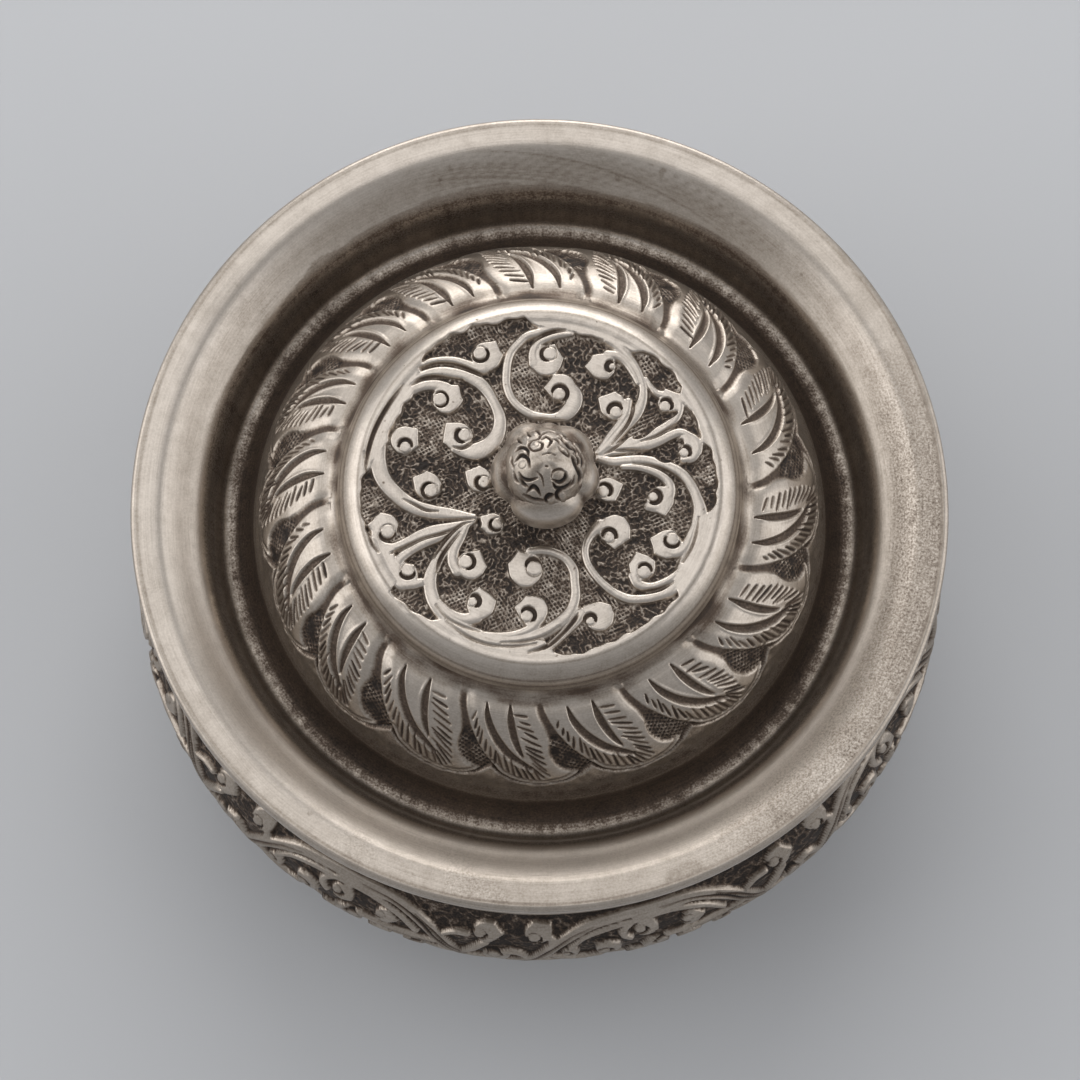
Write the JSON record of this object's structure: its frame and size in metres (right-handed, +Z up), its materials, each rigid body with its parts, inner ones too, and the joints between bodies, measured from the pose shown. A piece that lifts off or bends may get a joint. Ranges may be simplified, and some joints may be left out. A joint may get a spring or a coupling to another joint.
{
  "type": "lidded box",
  "caption": "Round bulging silver box on a foot ring, with a lift-off lid that has a deep gutter, a domed leaf border, a scrolled disc and a bud knob.",
  "frame": {"origin": "centre of the foot's underside, where the box stands", "axes": "+Z up along the box's axis; -Y is the side nearest the camera in the picture"},
  "size_m": [0.122, 0.122, 0.0884],
  "materials": {
    "chased_silver": "raised and chased silver with dark patina in the hollows",
    "plain_silver": "satin, worn by hand, lightly tarnished",
    "brass_fixing": "turned, dull"
  },
  "bodies": {
    "box": {"body_shell": "chased_silver", "body_mouth_wire": "plain_silver", "foot_ring": "plain_silver", "foot_edge_wire": "plain_silver"},
    "lid": {"lid_shell": "chased_silver", "lid_bezel": "plain_silver", "knob_neck": "plain_silver", "knob_petals": "plain_silver", "knob_bud": "chased_silver", "knob_stud": "brass_fixing", "knob_washer": "brass_fixing", "knob_nut": "brass_fixing"}
  },
  "joints": [
    {"name": "lid_lift", "type": "slide", "parent": "box", "child": "lid", "axis": [0, 0, 1], "range_m": [0, 0.06]}
  ]
}
